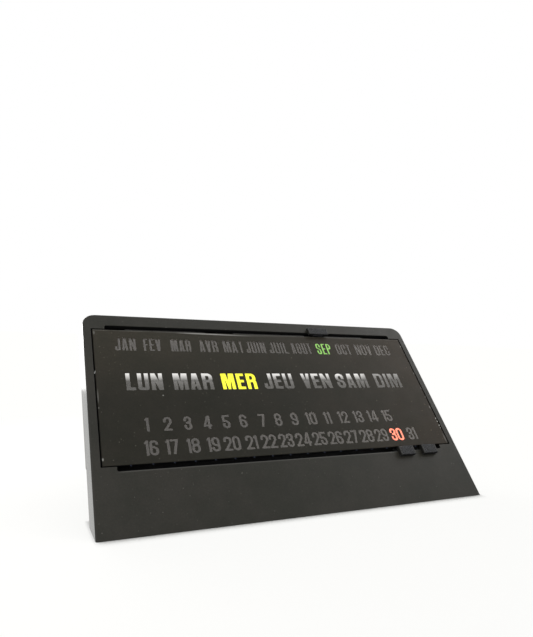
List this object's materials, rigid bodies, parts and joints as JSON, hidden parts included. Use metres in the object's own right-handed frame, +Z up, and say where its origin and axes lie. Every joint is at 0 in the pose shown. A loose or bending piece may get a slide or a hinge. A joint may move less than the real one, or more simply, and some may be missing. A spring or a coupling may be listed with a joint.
{
  "type": "perpetual desk calendar",
  "caption": "Leaning desk calendar set by hand: slides carry bright flags behind see-through month, weekday and date lettering; a fold-out leg stands it up.",
  "frame": {"origin": "middle of the flat foot under the case, on the table", "axes": "+X across the face towards its right edge, +Y to the back, +Z up"},
  "size_m": [0.14, 0.0633, 0.0618],
  "materials": {
    "case_black": "satin moulded",
    "printed_film": "satin print",
    "plate_black": "matt",
    "carrier_black": "matt moulded",
    "strip_white": "natural moulded",
    "slide_black": "satin moulded",
    "flag_green": "fluorescent print",
    "flag_yellow": "fluorescent print",
    "flag_red": "fluorescent print",
    "spring_steel": "rolled",
    "screw_steel": "plated",
    "cover_black": "fine texture",
    "leg_black": "fine texture"
  },
  "bodies": {
    "case": {"case_front": "case_black", "legend_film": "printed_film", "window_plate": "plate_black", "slide_carrier": "carrier_black", "month_index_strip": "strip_white", "weekday_index_strip": "strip_white", "back_cover": "cover_black", "cover_screws": "screw_steel", "stand_hinge_pin": "screw_steel"},
    "month": {"month_slide": "slide_black", "month_flag": "flag_green", "month_spring": "spring_steel"},
    "weekday": {"weekday_slide": "slide_black", "weekday_flag": "flag_yellow", "weekday_spring": "spring_steel"},
    "date_16_31": {"date_16_31_slide": "slide_black", "date_16_31_flag": "flag_red", "date_16_31_spring": "spring_steel"},
    "date_1_15": {"date_1_15_slide": "slide_black", "date_1_15_flag": "flag_red", "date_1_15_spring": "spring_steel"},
    "stand": {"stand_leg": "leg_black"}
  },
  "joints": [
    {"name": "month_travel", "type": "slide", "parent": "case", "child": "month", "axis": [1, 0, 0], "range_m": [-0.08064, 0.03024]},
    {"name": "weekday_travel", "type": "slide", "parent": "case", "child": "weekday", "axis": [1, 0, 0], "range_m": [-0.03394, 0.06788]},
    {"name": "date_16_31_travel", "type": "slide", "parent": "case", "child": "date_16_31", "axis": [1, 0, 0], "range_m": [-0.10245, 0]},
    {"name": "date_1_15_travel", "type": "slide", "parent": "case", "child": "date_1_15", "axis": [1, 0, 0], "range_m": [-0.003, 0.0044]},
    {"name": "stand_fold", "type": "hinge", "parent": "case", "child": "stand", "pos_m": [0, 0.03927, 0.03653], "axis": [1, 0, 0], "range_deg": [-65.5, 0]}
  ]
}
